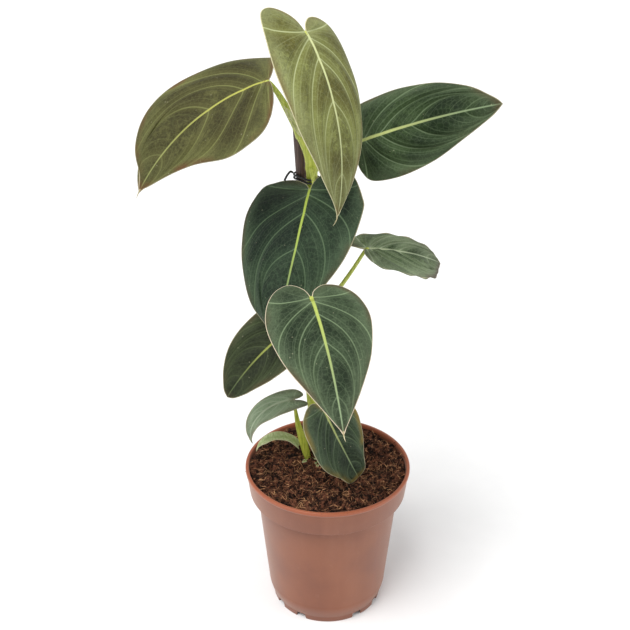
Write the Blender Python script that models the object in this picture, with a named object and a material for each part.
"""Climbing philodendron with heart-shaped leaves in a nursery pot.

Units are metres and +Z is up. The origin is the middle of the pot's base,
on the surface that the pot stands on. The plant faces -Y.
"""
import math

import bmesh
import bpy
from mathutils import Vector

# ---------------------------------------------------------------- clearances
GAP = 0.0003                 # between two pieces that touch
BORE_GAP = 0.0004            # round a stem in its hole in the soil
BORE_REACH = 0.020           # how far past the soil a hole is cut

# ---------------------------------------------------------------- pot
POT_HEIGHT = 0.115
RIM_RADIUS = 0.060           # outside of the lip
COLLAR_HEIGHT = 0.0207       # band under the lip
COLLAR_TAPER = 0.0022        # how much narrower the collar is at its foot
COLLAR_STEP = 0.0052         # how far the collar stands out of the body
BODY_TAPER = 0.0075          # how much narrower the body is above its round corner
CORNER = 0.012               # height of the round corner above the foot
CORNER_IN = 0.0030           # how far the round corner draws in
WALL = 0.0015
LIP = 0.0007                 # how far the lip stands out of the collar
LIP_HEIGHT = 0.0024
LIP_SLOPE = 0.0008           # height of the slopes that lead into the lip
EDGE_BREAK = 0.0006          # small slope that takes off a sharp edge
FOOT_HEIGHT = 0.0045
FOOT_LAND = 0.0022           # width of the ring that the pot stands on
CHANNEL = 0.0098             # drain channel between the foot and the base's flat middle
FOOT_INSET = 0.0004          # foot inside the end of the round corner
MOUTH_EASE = 0.0004          # how much the wall thins at the mouth
CHANNEL_SLOPE = 0.0012       # sideways slope of the channel's wall
NOTCH_WIDTH = 0.0072
NOTCH_ROOF = 0.0002          # what stays between a notch's top and the foot's
NOTCH_IN = 0.0010            # how far a notch's cutter starts inside the foot
NOTCH_OUT = 0.0020           # how far it ends past the pot's body
NOTCH_PAIRS = 4
NOTCH_HALF_ANGLE = 14.2      # degrees from a pair's middle to each notch
NOTCH_TURN = 47.0            # degrees from +X to the first pair's middle
ROUND_STEPS = 72

# ---------------------------------------------------------------- soil
SOIL_DROP = 0.0035           # soil's edge below the lip
SOIL_MOUND = 0.0022          # how much higher the soil is in the middle

# ---------------------------------------------------------------- plant
PLANT_DROP = 0.0090          # level that the plant's heights are counted from, below the lip
STAKE_RADIUS = 0.0035
STAKE_LENGTH = 0.356
STAKE_DEPTH = 0.078          # below the plant's level
STEM_DEPTH = 0.012
LEAF_THICKNESS = 0.0009
RIB_DEPTH = 0.0007           # midrib standing out of the underside
TIE_RADIUS = 0.00070
LEAF_ROWS = 20
LEAF_HALF_COLUMNS = 4

PLANT_Z = POT_HEIGHT - PLANT_DROP
SOIL_EDGE_Z = POT_HEIGHT - SOIL_DROP
SOIL_TOP_Z = SOIL_EDGE_Z + SOIL_MOUND

# Each blade starts at base, given from the plant's level. Azimuth is the
# compass direction of the midrib from +X, rise its slope there, arch how much
# the slope falls by the tip, and sweep how much it turns sideways. Roll tips
# the blade about its midrib, and twist adds to that by the tip. Fold lifts both
# halves off flat and curl adds to that by the margin. Angles are in degrees.
BLADES = {
    "leaf_top": dict(
        base=(-0.0143, -0.0220, 0.3222), length=0.1131, width=0.0697, lobe=0.14,
        azimuth=-39, rise=-52, arch=48, sweep=4, roll=4, twist=-4, fold=1, curl=-20,
        droop=20, widest=0.23, lobe_bias=0.41, full=-0.16, blunt=0.04),
    "leaf_upper_left": dict(
        base=(-0.0375, 0.0020, 0.2886), length=0.1110, width=0.0876, lobe=0.03,
        azimuth=-183, rise=-18, arch=44, sweep=-15, roll=14, twist=53, fold=4, curl=-21,
        droop=20, widest=0.25, widest_bias=0.1, width_bias=-0.05, lobe_bias=-0.02,
        full=-0.31, blunt=0.04),
    "leaf_upper_right": dict(
        base=(0.0192, 0.0080, 0.2488), length=0.0974, width=0.0587, lobe=0.06,
        azimuth=-21, rise=25, arch=7, sweep=13, roll=-60, twist=-2, fold=-10, curl=-15,
        droop=20, widest=0.24, widest_bias=-0.02, width_bias=-0.02, full=-0.05, blunt=0.11),
    "leaf_middle": dict(
        base=(-0.0127, -0.0125, 0.2243), length=0.1033, width=0.0972, lobe=0.11,
        azimuth=-114, rise=-56, arch=22, sweep=8, roll=-20, twist=9, fold=-13, curl=7,
        droop=17, widest=0.20, widest_bias=0.10, width_bias=0.16, lobe_bias=-0.4,
        full=-0.08, blunt=0.04),
    "leaf_front": dict(
        base=(-0.0112, -0.0730, 0.1785), length=0.0878, width=0.0634, lobe=0.16,
        azimuth=-74, rise=-20, arch=40, sweep=0, roll=-4, twist=2, fold=-9, curl=-6,
        droop=7, widest=0.2, width_bias=-0.03, lobe_bias=0.18, full=-0.23, blunt=0.04),
    "leaf_lower_left": dict(
        base=(-0.0205, -0.0120, 0.1299), length=0.0702, width=0.0464, lobe=0.17,
        azimuth=-160, rise=-29, arch=29, sweep=2, roll=30, twist=6, fold=8, curl=0,
        droop=12, widest=0.31, widest_bias=0.03, width_bias=0.03, full=0.14, blunt=0.19),
    "leaf_small_right": dict(
        base=(0.0246, 0.0080, 0.1754), length=0.0684, width=0.0410, lobe=0.11, azimuth=18,
        rise=-9, arch=26, sweep=-22, roll=-12, twist=-30, fold=12, curl=-7, droop=12,
        widest=0.28, width_bias=0.3, lobe_bias=-0.45, full=0.24, blunt=0.09),
    "leaf_low_front": dict(
        base=(-0.0043, -0.0220, 0.0702), length=0.0653, width=0.0493, lobe=0.13,
        azimuth=-23, rise=-63, arch=11, sweep=-20, roll=-14, twist=-17, fold=9, curl=-8,
        droop=4, widest=0.3, width_bias=0.05, lobe_bias=-0.06, full=-0.25, blunt=0.29),
    "leaf_low_left": dict(
        base=(-0.0241, -0.0050, 0.0662), length=0.0597, width=0.0178, lobe=0.14,
        azimuth=-174, rise=-4, arch=102, sweep=19, roll=34, twist=7, fold=16, curl=-5,
        droop=9, widest=0.25, widest_bias=0.07, width_bias=-0.11, lobe_bias=-0.15,
        full=-0.39, blunt=0.06),
    "cataphyll": dict(
        base=(-0.0212, 0.0070, 0.0190), length=0.0405, width=0.0078, lobe=0.01,
        azimuth=-176, rise=60, arch=136, sweep=4, roll=24, twist=0, fold=14, curl=6,
        droop=0, widest=0.38),
    "stalk_sheath": dict(
        base=(-0.0166, -0.0012, 0.2560), length=0.0215, width=0.0054, lobe=0.01,
        azimuth=180, rise=57, arch=0, sweep=0, roll=62, twist=0, fold=6, curl=0,
        droop=0, widest=0.30),
}

# A stalk leaves the stem at a height over the plant's level, towards a compass
# direction, passes through points (x, y, height) and ends under its blade. One
# with no height goes on from the stem's tip.
STALKS = {
    "stalk_top": dict(
        blade="leaf_top", height=0.2410, leave=-15, radii=(0.0022, 0.0012),
        via=[(-0.0066, 0.0010, 0.2620), (-0.0110, -0.0060, 0.2900), (-0.0138, -0.0150, 0.3110)]),
    "stalk_upper_left": dict(
        blade="leaf_upper_left", height=None, leave=180, radii=(0.0034, 0.0013),
        via=[(-0.0206, 0.0048, 0.2590), (-0.0258, 0.0040, 0.2692), (-0.0312, 0.0030, 0.2794)]),
    "stalk_upper_right": dict(
        blade="leaf_upper_right", height=0.2320, leave=8, radii=(0.0018, 0.0013),
        via=[(0.0000, 0.0082, 0.2395), (0.0100, 0.0086, 0.2440)]),
    "stalk_middle": dict(
        blade="leaf_middle", height=0.2325, leave=-91, radii=(0.0016, 0.0010),
        via=[(-0.0107, -0.0040, 0.2302), (-0.0100, -0.0085, 0.2262)]),
    "stalk_front": dict(
        blade="leaf_front", height=0.0890, leave=-80, radii=(0.0018, 0.0013),
        via=[(-0.0100, -0.0060, 0.0960), (-0.0085, -0.0200, 0.1126), (-0.0079, -0.0380, 0.1328),
             (-0.0098, -0.0560, 0.1537)]),
    "stalk_lower_left": dict(
        blade="leaf_lower_left", height=0.1120, leave=-130, radii=(0.0016, 0.0012),
        via=[(-0.0185, -0.0050, 0.1210)]),
    "stalk_small_right": dict(
        blade="leaf_small_right", height=0.1290, leave=2, radii=(0.0019, 0.0012),
        via=[(0.0010, 0.0080, 0.1378), (0.0084, 0.0080, 0.1482), (0.0162, 0.0080, 0.1605)]),
    "stalk_low_front": dict(
        blade="leaf_low_front", height=0.0500, leave=-62, radii=(0.0015, 0.0011),
        via=[(-0.0072, -0.0050, 0.0570)]),
}
# The stem and the side shoot: points (x, y, height over the plant's level, radius).
SIDE_SHOOT = [
    (-0.0118, 0.0106, -0.0070, 0.0017), (-0.0134, 0.0090, 0.0014, 0.0019),
    (-0.0170, 0.0060, 0.0200, 0.0030), (-0.0211, 0.0020, 0.0398, 0.0021),
    (-0.0231, -0.0020, 0.0557, 0.0012), (-0.0238, -0.0040, 0.0630, 0.0011)]
MAIN_STEM = [
    (-0.0030, 0.0068, -STEM_DEPTH, 0.0032), (-0.0040, 0.0068, 0.0060, 0.0032),
    (-0.0120, 0.0066, 0.0590, 0.0031), (-0.0125, 0.0062, 0.1090, 0.0030),
    (-0.0120, 0.0060, 0.1640, 0.0030), (-0.0114, 0.0061, 0.2150, 0.0033),
    (-0.0112, 0.0061, 0.2300, 0.0038), (-0.0120, 0.0061, 0.2400, 0.0042),
    (-0.0146, 0.0058, 0.2480, 0.0042), (-0.0180, 0.0053, 0.2545, 0.0037)]
STAKE_FOOT = (-0.0046, 0.0105 + STAKE_RADIUS)
STAKE_LEAN = -3.42           # degrees from upright, towards -X

TIE_HEIGHTS = (0.2230, 0.2252)
TIE_ENDS = {
    "tie_end_left": [
        (-0.0236, 0.0105, 0.2275), (-0.0250, 0.0088, 0.2285), (-0.0270, 0.0084, 0.2262),
        (-0.0288, 0.0080, 0.2228)],
    "tie_end_right": [
        (-0.0079, 0.0002, 0.2272), (-0.0060, -0.0010, 0.2262), (-0.0056, -0.0016, 0.2232),
        (-0.0067, -0.0014, 0.2209)],
}

MATERIALS = {
    "pot": ((0.50, 0.22, 0.13, 1.0), 0.50),
    "soil": ((0.080, 0.042, 0.024, 1.0), 0.95),
    "stake": ((0.085, 0.040, 0.032, 1.0), 0.55),
    "stem": ((0.40, 0.47, 0.13, 1.0), 0.45),
    "stalk": ((0.42, 0.50, 0.14, 1.0), 0.45),
    "sheath": ((0.58, 0.60, 0.32, 1.0), 0.60),
    "tie": ((0.010, 0.010, 0.011, 1.0), 0.40),
    "leaf_green": ((0.045, 0.085, 0.045, 1.0), 0.55),
    "leaf_olive": ((0.125, 0.150, 0.055, 1.0), 0.55),
}
OLIVE_LEAVES = ("leaf_top", "leaf_upper_left")


def clear_scene():
    for item in list(bpy.data.objects):
        bpy.data.objects.remove(item, do_unlink=True)


def paint(obj, name):
    colour, roughness = MATERIALS[name]
    material = bpy.data.materials.get(name)
    if material is None:
        material = bpy.data.materials.new(name)
        material.use_nodes = True
        shader = material.node_tree.nodes["Principled BSDF"]
        shader.inputs["Base Color"].default_value = colour
        shader.inputs["Roughness"].default_value = roughness
        shader.inputs["Metallic"].default_value = 0.0
        material.diffuse_color = colour
    obj.data.materials.append(material)


def add_object(name, data):
    obj = bpy.data.objects.new(name, data)
    bpy.context.scene.collection.objects.link(obj)
    return obj


def mesh_object(name, points, faces, smooth=True):
    mesh = bpy.data.meshes.new(name)
    mesh.from_pydata([tuple(p) for p in points], [], faces)
    work = bmesh.new()
    work.from_mesh(mesh)
    bmesh.ops.recalc_face_normals(work, faces=work.faces)
    work.to_mesh(mesh)
    work.free()
    for polygon in mesh.polygons:
        polygon.use_smooth = smooth
    return add_object(name, mesh)


def revolve(name, profile, steps=ROUND_STEPS):
    """Turn a closed profile of (radius, height) that starts and ends on the axis."""
    inner = profile[1:-1]
    points = [Vector((0.0, 0.0, profile[0][1])), Vector((0.0, 0.0, profile[-1][1]))]
    for radius, height in inner:
        for step in range(steps):
            turn = 2.0 * math.pi * step / steps
            points.append(Vector((radius * math.cos(turn), radius * math.sin(turn), height)))
    faces = []
    last = 2 + (len(inner) - 1) * steps
    for step in range(steps):
        after = (step + 1) % steps
        faces.append((0, 2 + step, 2 + after))
        faces.append((1, last + after, last + step))
        for row in range(len(inner) - 1):
            low = 2 + row * steps
            high = low + steps
            faces.append((low + step, low + after, high + after, high + step))
    return mesh_object(name, points, faces)


def cut_away(obj, cutter):
    cutter.hide_render = True
    cutter.display_type = "WIRE"
    modifier = obj.modifiers.new(cutter.name, "BOOLEAN")
    modifier.operation = "DIFFERENCE"
    modifier.solver = "EXACT"
    modifier.object = cutter


def outer_body_radius(height):
    """Outside of the pot's body, from the foot up to the collar."""
    top = RIM_RADIUS - LIP - COLLAR_TAPER - COLLAR_STEP
    body_foot = FOOT_HEIGHT + CORNER
    body_top = POT_HEIGHT - COLLAR_HEIGHT
    lower = top - BODY_TAPER
    if height >= body_foot:
        return lower + BODY_TAPER * (height - body_foot) / (body_top - body_foot)
    share = max(height - FOOT_HEIGHT, 0.0) / CORNER
    return lower - CORNER_IN * (1.0 - math.sin(0.5 * math.pi * share))


def foot_radius():
    return outer_body_radius(0.0) - FOOT_INSET


def pad_radius():
    """Flat middle of the base, level with the foot."""
    return foot_radius() - FOOT_LAND - CHANNEL


def body_levels():
    rounded = [FOOT_HEIGHT + CORNER * share for share in (0.0, 0.2, 0.45, 0.7, 1.0)]
    return rounded + [POT_HEIGHT - COLLAR_HEIGHT]


def inside_profile(clearance):
    """Inside of the pot from the axis up to the lip, moved inwards by clearance."""
    floor = WALL + clearance
    channel = FOOT_HEIGHT + WALL + clearance
    pad = pad_radius() - WALL - clearance
    profile = [(0.0, floor), (pad, floor), (pad, channel)]
    for height in body_levels()[1:-1]:
        if height > channel:
            profile.append((outer_body_radius(height) - WALL - clearance, height))
    shelf = POT_HEIGHT - COLLAR_HEIGHT + WALL
    body_top = outer_body_radius(POT_HEIGHT - COLLAR_HEIGHT)
    collar_foot = RIM_RADIUS - LIP - COLLAR_TAPER
    profile.insert(3, (profile[3][0] - CHANNEL_SLOPE, channel))
    profile.append((body_top - WALL - clearance, shelf + clearance))
    profile.append((collar_foot - WALL - clearance, shelf + clearance))
    profile.append((RIM_RADIUS - LIP - WALL - clearance, POT_HEIGHT - WALL))
    return profile


def make_pot():
    foot_outer = foot_radius()
    foot_inner = foot_outer - FOOT_LAND
    collar_foot = RIM_RADIUS - LIP - COLLAR_TAPER
    collar_z = POT_HEIGHT - COLLAR_HEIGHT
    outside = [(0.0, 0.0), (pad_radius(), 0.0), (pad_radius(), FOOT_HEIGHT),
               (foot_inner, FOOT_HEIGHT), (foot_inner, 0.0), (foot_outer, 0.0)]
    outside += [(outer_body_radius(height), height) for height in body_levels()]
    outside += [(collar_foot - EDGE_BREAK, collar_z), (collar_foot, collar_z + EDGE_BREAK)]
    lip_z = POT_HEIGHT - LIP_HEIGHT
    outside += [(RIM_RADIUS - LIP, lip_z - LIP_SLOPE), (RIM_RADIUS, lip_z)]
    outside += [(RIM_RADIUS, POT_HEIGHT - LIP_SLOPE), (RIM_RADIUS - EDGE_BREAK, POT_HEIGHT)]
    inside = inside_profile(0.0)
    inside.append((RIM_RADIUS - LIP - WALL + MOUTH_EASE, POT_HEIGHT))
    pot = revolve("pot", outside + inside[::-1])
    for pair in range(NOTCH_PAIRS):
        for side in (-1, 1):
            angle = NOTCH_TURN + 360.0 / NOTCH_PAIRS * pair + side * NOTCH_HALF_ANGLE
            cut_away(pot, notch_cutter(math.radians(angle), foot_inner, foot_outer, pair, side))
    paint(pot, "pot")


def notch_cutter(angle, inner, outer, pair, side):
    low = inner - NOTCH_IN
    high = outer + CORNER_IN + NOTCH_OUT
    half = 0.5 * NOTCH_WIDTH
    cutter = box(f"notch_{pair}_{'left' if side < 0 else 'right'}",
                 (low, -half, -NOTCH_OUT), (high, half, FOOT_HEIGHT - NOTCH_ROOF))
    cutter.rotation_euler = (0.0, 0.0, angle)
    return cutter


def box(name, low, high):
    points = [(x, y, z) for x in (low[0], high[0]) for y in (low[1], high[1])
              for z in (low[2], high[2])]
    faces = [(0, 1, 3, 2), (4, 6, 7, 5), (0, 4, 5, 1), (2, 3, 7, 6), (0, 2, 6, 4), (1, 5, 7, 3)]
    return mesh_object(name, points, faces, smooth=False)


def bore_cutter(name, foot, towards, radius, length):
    """A cylinder from foot along the direction towards."""
    mesh = bpy.data.meshes.new(name)
    work = bmesh.new()
    bmesh.ops.create_cone(work, cap_ends=True, segments=20, radius1=radius, radius2=radius,
                          depth=length)
    bmesh.ops.translate(work, verts=work.verts, vec=(0.0, 0.0, 0.5 * length))
    work.to_mesh(mesh)
    work.free()
    cutter = add_object(name, mesh)
    cutter.rotation_mode = "QUATERNION"
    cutter.rotation_quaternion = Vector((0, 0, 1)).rotation_difference(Vector(towards))
    cutter.location = foot
    return cutter


def on_plant(point):
    """A point whose height is given over the plant's level."""
    return Vector((point[0], point[1], point[2] + PLANT_Z))


def stake_point(along):
    lean = math.radians(STAKE_LEAN)
    foot = Vector((STAKE_FOOT[0], STAKE_FOOT[1], PLANT_Z - STAKE_DEPTH))
    foot.x -= STAKE_DEPTH * math.tan(lean)
    return foot + Vector((math.sin(lean), 0.0, math.cos(lean))) * along


def make_soil():
    inner = [(radius, height) for radius, height in inside_profile(GAP) if height < SOIL_EDGE_Z]
    wall_foot = inner[-1]
    wall_top = inside_profile(GAP)[-1]
    share = (SOIL_EDGE_Z - wall_foot[1]) / (wall_top[1] - wall_foot[1])
    edge = wall_foot[0] + (wall_top[0] - wall_foot[0]) * share
    profile = inner + [(edge, SOIL_EDGE_Z)]
    for part in (0.8, 0.55, 0.3):
        profile.append((edge * part, SOIL_EDGE_Z + SOIL_MOUND * (1.0 - part * part)))
    profile.append((0.0, SOIL_TOP_Z))
    soil = revolve("soil", profile)
    stake_way = stake_point(1.0) - stake_point(0.0)
    foot = stake_point(-BORE_GAP)
    cut_away(soil, bore_cutter("stake_bore", foot, stake_way, STAKE_RADIUS + BORE_GAP,
                               STAKE_DEPTH + BORE_REACH))
    for name, path in (("stem_bore", MAIN_STEM), ("shoot_bore", SIDE_SHOOT)):
        start = on_plant(path[0])
        way = (on_plant(path[1]) - start).normalized()
        widest = max(path[0][3], path[1][3])
        cut_away(soil, bore_cutter(name, start - way * BORE_GAP, way, widest + 2.0 * BORE_GAP,
                                   STEM_DEPTH + BORE_REACH))
    paint(soil, "soil")


def smooth_path(points, steps=5):
    """Catmull-Rom curve through rows of numbers, all columns alike."""
    rows = [Vector(p) for p in points]
    rows = [rows[0] * 2 - rows[1]] + rows + [rows[-1] * 2 - rows[-2]]
    out = []
    for i in range(1, len(rows) - 2):
        p0, p1, p2, p3 = rows[i - 1:i + 3]
        for step in range(steps):
            t = step / steps
            out.append(0.5 * (2 * p1 + (p2 - p0) * t + (2 * p0 - 5 * p1 + 4 * p2 - p3) * t * t
                              + (3 * p1 - p0 - 3 * p2 + p3) * t ** 3))
    out.append(rows[-2])
    return out


def tube(name, points, radii, closed=False, sides=3):
    curve = bpy.data.curves.new(name, "CURVE")
    curve.dimensions = "3D"
    curve.bevel_depth = 1.0
    curve.bevel_resolution = sides
    curve.use_fill_caps = not closed
    spline = curve.splines.new("POLY")
    spline.points.add(len(points) - 1)
    for knot, point, radius in zip(spline.points, points, radii):
        knot.co = (point[0], point[1], point[2], 1.0)
        knot.radius = radius
    spline.use_cyclic_u = closed
    spline.use_smooth = True
    return add_object(name, curve)


def make_rooted(name, path):
    """A stem that starts straight in its hole in the soil."""
    rows = rooted_rows(path)
    paint(tube(name, [on_plant(row) for row in rows], [row[3] for row in rows]), "stem")


def rooted_rows(path):
    return [Vector(path[0])] + smooth_path(path[1:])


def stem_at(height):
    """The stem's middle and radius at a height over the plant's level."""
    rows = rooted_rows(MAIN_STEM)
    for low, high in zip(rows, rows[1:]):
        if high[2] >= height:
            break
    row = low.lerp(high, (height - low[2]) / (high[2] - low[2]))
    return Vector(row[:3]), row[3]


def stalk_start(height, leave, radius):
    """Where a stalk's middle starts, clear of the stem."""
    if height is None:
        return Vector(MAIN_STEM[-1][:3]) + Vector((0.0, 0.0, 4.0 * GAP))
    middle, stem_radius = stem_at(height)
    turn = math.radians(leave)
    out = Vector((math.cos(turn), math.sin(turn), 0.0))
    return middle + out * (stem_radius + GAP + radius)


def make_stalk(name, blade, height, leave, radii, via):
    thick, thin = radii
    base, upper = Blade(**BLADES[blade]).place(0.0, 0.0)
    end = base - upper * (0.5 * LEAF_THICKNESS + RIB_DEPTH + thin + 2.0 * GAP)
    end.z -= PLANT_Z
    path = smooth_path([stalk_start(height, leave, thick)] + [Vector(p) for p in via] + [end])
    last = len(path) - 1
    radii = [thick + (thin - thick) * place / last for place in range(last + 1)]
    paint(tube(name, [on_plant(point) for point in path], radii), "stalk")


def make_stake():
    ends = [stake_point(0.0), stake_point(STAKE_LENGTH)]
    stake = tube("stake", ends, [STAKE_RADIUS] * 2, sides=4)
    paint(stake, "stake")


def loop_points(around, steps=40):
    """A taut loop round two circles (x, y, radius), as the hull of both."""
    (ax, ay, ar), (bx, by, br) = around
    points = []
    for step in range(steps):
        turn = 2.0 * math.pi * step / steps
        way = Vector((math.cos(turn), math.sin(turn)))
        far_a = way.dot(Vector((ax, ay))) + ar
        far_b = way.dot(Vector((bx, by))) + br
        x, y, r = (ax, ay, ar) if far_a > far_b else (bx, by, br)
        points.append((x + r * way.x, y + r * way.y))
    return points


def tied(height):
    """The circles (x, y, radius) that a tie's middle line is drawn tight round."""
    clear = TIE_RADIUS + 2.0 * GAP
    stem, stem_radius = stem_at(height)
    lean = math.radians(STAKE_LEAN)
    stake_x = STAKE_FOOT[0] + height * math.tan(lean)
    return ((stake_x, STAKE_FOOT[1], STAKE_RADIUS + clear), (stem.x, stem.y, stem_radius + clear))


def make_ties():
    for name, height in zip(("tie_loop_lower", "tie_loop_upper"), TIE_HEIGHTS):
        points = [on_plant((x, y, height)) for x, y in loop_points(tied(height))]
        loop = tube(name, points, [TIE_RADIUS] * len(points), closed=True, sides=2)
        paint(loop, "tie")
    for name, path in TIE_ENDS.items():
        rows = smooth_path(path, 3)
        end = tube(name, [on_plant(row) for row in rows], [TIE_RADIUS] * len(rows), sides=2)
        paint(end, "tie")


class Blade:
    """A leaf blade: a flat heart outline, bent into place in space."""

    STEPS = 60

    def __init__(self, base, length, width, lobe, azimuth, rise, arch, sweep, roll, twist,
                 fold, curl, droop, widest, widest_bias=0.0, width_bias=0.0, lobe_bias=0.0,
                 full=0.0, blunt=0.07):
        self.base = on_plant(base)
        self.length = length
        self.width = width
        self.lobe = lobe
        self.rise, self.arch, self.sweep = (math.radians(a) for a in (rise, arch, sweep))
        self.roll, self.twist = math.radians(roll), math.radians(twist)
        self.fold, self.curl = math.radians(fold), math.radians(curl)
        self.droop = math.radians(droop)
        self.widest, self.widest_bias = widest, widest_bias
        self.width_bias, self.lobe_bias = width_bias, lobe_bias
        self.full, self.blunt = full, blunt
        turn = math.radians(azimuth)
        self.out = Vector((math.cos(turn), math.sin(turn), 0.0))
        self.up = Vector((0.0, 0.0, 1.0))
        self.side = self.out.cross(self.up)
        self.midrib = self.run_midrib()

    def heading(self, share):
        slope = self.rise - self.arch * share
        turn = self.sweep * share
        return ((self.out * math.cos(slope) + self.up * math.sin(slope)) * math.cos(turn)
                + self.side * math.sin(turn))

    def run_midrib(self):
        points = [self.base.copy()]
        for step in range(self.STEPS):
            share = (step + 0.5) / self.STEPS
            points.append(points[-1] + self.heading(share) * (self.length / self.STEPS))
        return points

    def rib_point(self, y):
        if y < 0.0:
            bend = self.rise + self.droop * min(-y / (0.25 * self.length), 1.0)
            return self.base + (self.out * math.cos(bend) + self.up * math.sin(bend)) * y
        place = min(y / self.length, 1.0) * self.STEPS
        step = min(int(place), self.STEPS - 1)
        return self.midrib[step].lerp(self.midrib[step + 1], place - step)

    def place(self, x, y):
        """Where a point of the flat blade goes, and the upper side's normal there."""
        share = min(max(y / self.length, 0.0), 1.0)
        along = self.heading(share)
        slope = self.rise - self.arch * share
        upper = self.up * math.cos(slope) - self.out * math.sin(slope)
        across = along.cross(upper)
        roll = self.roll + self.twist * share
        side = across * math.cos(roll) + upper * math.sin(roll)
        normal = upper * math.cos(roll) - across * math.sin(roll)
        reach = abs(x)
        flat = lift = 0.0
        samples = 10
        for sample in range(samples):
            part = (sample + 0.5) / samples
            lean = self.fold + self.curl * reach * part / (0.5 * self.width)
            flat += math.cos(lean) * reach / samples
            lift += math.sin(lean) * reach / samples
        way = 1.0 if x >= 0.0 else -1.0
        lean = self.fold + self.curl * reach / (0.5 * self.width)
        point = self.rib_point(y) + side * (way * flat) + normal * lift
        facing = normal * math.cos(lean) - side * (way * math.sin(lean))
        return point, facing

    def outline(self, way):
        """Half outline (x, y) from the notch at the stalk, round a lobe, to the tip."""
        half = 0.5 * self.width * (1.0 + way * self.width_bias)
        back = self.lobe * self.length * (1.0 + way * self.lobe_bias)
        wide = self.widest + way * self.widest_bias
        length, tip, full = self.length, self.blunt, self.full
        knots = [(0.0, 0.0), (0.10 * half, -0.55 * back), (0.34 * half, -0.98 * back),
                 (0.66 * half, -0.80 * back), (0.93 * half, 0.02 * length - 0.10 * back),
                 (half, wide * length), ((0.86 + 0.06 * full) * half, (wide + 0.26) * length),
                 ((0.55 + 0.20 * full) * half, min(wide + 0.50, 0.80) * length),
                 ((0.15 + 0.14 * full + tip) * half, 0.90 * length),
                 (tip * half, 0.965 * length),
                 (0.0, length)]
        path = smooth_path([(x, y, 0.0) for x, y in knots], 8)
        return [path[round(row * (len(path) - 1) / LEAF_ROWS)] for row in range(LEAF_ROWS + 1)]


def blade_row(blade, halves, row, face):
    """One row of points across the blade; face is +1 above and -1 below."""
    share = row / LEAF_ROWS
    rib_y = blade.length * share ** 1.25
    points = []
    for column in range(-LEAF_HALF_COLUMNS, LEAF_HALF_COLUMNS + 1):
        way = 1 if column >= 0 else -1
        edge = halves[way][row]
        part = abs(column) / LEAF_HALF_COLUMNS
        x = way * max(edge.x, 0.0) * part
        y = rib_y + (edge.y - rib_y) * part
        point, normal = blade.place(x, y)
        depth = 0.5 * LEAF_THICKNESS * (1.0 - 0.55 * part)
        if column == 0 and face < 0:
            depth += RIB_DEPTH * (1.0 - 0.7 * share)
        points.append(point + normal * (face * depth))
    return points


def make_blade(name):
    blade = Blade(**BLADES[name])
    halves = {1: blade.outline(1), -1: blade.outline(-1)}
    columns = 2 * LEAF_HALF_COLUMNS + 1
    points = []
    index = {}
    for face in (1, -1):
        for row in range(LEAF_ROWS + 1):
            line = blade_row(blade, halves, row, face)
            if row in (0, LEAF_ROWS):
                index[face, row] = [len(points)] * columns
                points.append(line[LEAF_HALF_COLUMNS])
            else:
                index[face, row] = list(range(len(points), len(points) + columns))
                points += line
    faces = []
    for row in range(LEAF_ROWS):
        for column in range(columns - 1):
            for face in (1, -1):
                low, high = index[face, row], index[face, row + 1]
                add_face(faces, (low[column], low[column + 1], high[column + 1], high[column]))
        for column in (0, columns - 1):
            add_face(faces, (index[1, row][column], index[1, row + 1][column],
                             index[-1, row + 1][column], index[-1, row][column]))
    leaf = mesh_object(name, points, faces)
    if name in ("cataphyll", "stalk_sheath"):
        paint(leaf, "sheath")
    else:
        paint(leaf, "leaf_olive" if name in OLIVE_LEAVES else "leaf_green")


def add_face(faces, corners):
    kept = []
    for corner in corners:
        if corner not in kept:
            kept.append(corner)
    if len(kept) > 2:
        faces.append(tuple(kept))


def main():
    clear_scene()
    make_pot()
    make_soil()
    make_stake()
    make_rooted("main_stem", MAIN_STEM)
    make_rooted("side_shoot", SIDE_SHOOT)
    make_ties()
    for name, sizes in STALKS.items():
        make_stalk(name, **sizes)
    for name in BLADES:
        make_blade(name)


main()
